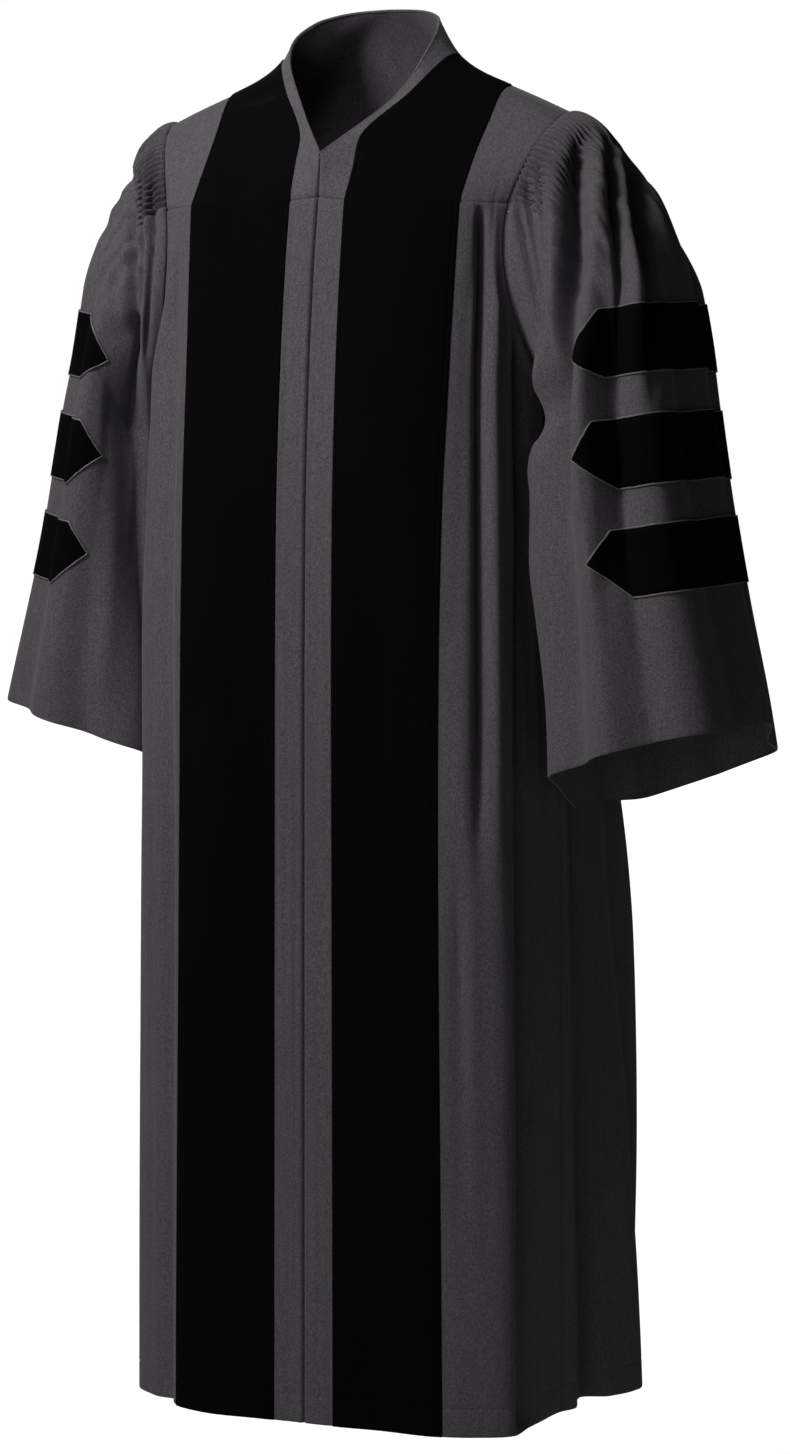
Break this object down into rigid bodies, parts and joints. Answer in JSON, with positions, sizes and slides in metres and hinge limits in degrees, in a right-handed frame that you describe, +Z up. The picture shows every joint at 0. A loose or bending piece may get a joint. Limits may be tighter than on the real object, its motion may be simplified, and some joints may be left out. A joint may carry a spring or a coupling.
{
  "type": "clergy robe",
  "caption": "Long charcoal clergy robe with V neck, plain yoke, pleated back and sleeve heads, open bell sleeves, black velvet front panels and pointed velvet bars.",
  "frame": {"origin": "middle of the wearer's shoulders, level with the highest side points of the neck opening, where the wearer holds the garment up", "axes": "+Z up the wearer, -Y out of the wearer's chest, +X to the wearer's left"},
  "size_m": [0.8308, 0.4048, 1.3871],
  "materials": {
    "charcoal_cloth": "matte crepe",
    "black_velvet": "velvet pile"
  },
  "bodies": {
    "root": {"front_right": "charcoal_cloth", "front_left": "charcoal_cloth", "back": "charcoal_cloth", "yoke_front_right": "charcoal_cloth", "yoke_front_left": "charcoal_cloth", "yoke_back": "charcoal_cloth", "sleeve_right": "charcoal_cloth", "sleeve_left": "charcoal_cloth", "velvet_right": "black_velvet", "velvet_left": "black_velvet", "bar_right_1": "black_velvet", "bar_right_2": "black_velvet", "bar_right_3": "black_velvet", "bar_left_1": "black_velvet", "bar_left_2": "black_velvet", "bar_left_3": "black_velvet"}
  },
  "joints": []
}
